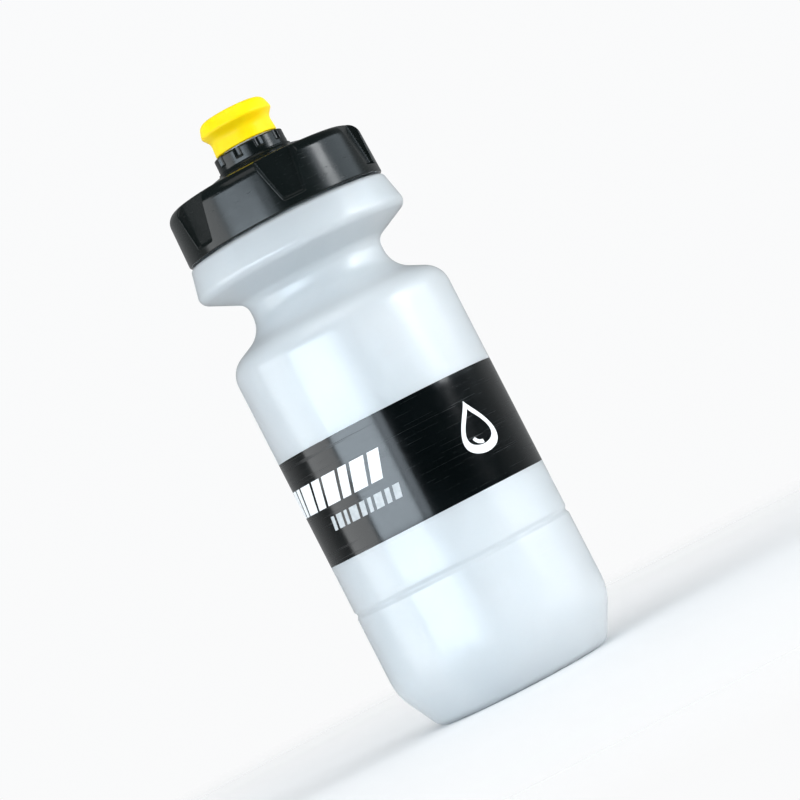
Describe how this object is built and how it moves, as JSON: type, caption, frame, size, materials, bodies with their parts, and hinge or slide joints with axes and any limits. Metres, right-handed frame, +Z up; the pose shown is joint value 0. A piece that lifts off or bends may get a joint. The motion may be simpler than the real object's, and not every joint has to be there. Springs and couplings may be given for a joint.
{
  "type": "sports water bottle",
  "caption": "Frosted squeeze bottle with a waist for a bicycle cage, a screw cap with finger scoops and a push-pull drinking nozzle.",
  "frame": {"origin": "centre of the foot, on the surface the bottle stands on", "axes": "+Z up along the bottle's axis to the nozzle, -Y the side shown to the front"},
  "size_m": [0.0736, 0.0736, 0.2004],
  "materials": {
    "frosted_plastic": "frosted, see-through white",
    "black_print": "gloss print",
    "black_plastic": "gloss",
    "black_plastic_trim": "gloss",
    "silicone": "satin",
    "clear_plastic": "satin",
    "yellow_rubber": "satin",
    "black_rubber": "satin"
  },
  "bodies": {
    "bottle": {"bottle_body": "frosted_plastic", "print_band": "black_print"},
    "gasket": {"cap_gasket": "silicone"},
    "cap": {"cap_shell": "black_plastic", "nozzle_collar": "black_plastic_trim", "valve_plug": "clear_plastic"},
    "seal": {"nozzle_seal": "black_rubber"},
    "nozzle": {"nozzle_stem": "clear_plastic", "mouthpiece": "yellow_rubber"}
  },
  "joints": [
    {"name": "cap_lift", "type": "slide", "parent": "bottle", "child": "gasket", "axis": [0, 0, 1], "range_m": [0, 0.00751]},
    {"name": "cap_turn", "type": "hinge", "parent": "gasket", "child": "cap", "pos_m": [0, 0, 0.17], "axis": [0, 0, 1], "range_deg": [0, 450]},
    {"name": "nozzle_pull", "type": "slide", "parent": "cap", "child": "seal", "axis": [0, 0, 1], "range_m": [0, 0.006]},
    {"name": "nozzle_swivel", "type": "hinge", "parent": "seal", "child": "nozzle", "pos_m": [0, 0, 0.195], "axis": [0, 0, 1], "continuous": true}
  ],
  "couplings": [
    {"joint": "cap_lift", "follows": "cap_turn", "m_per_rad": 0.00095493}
  ]
}
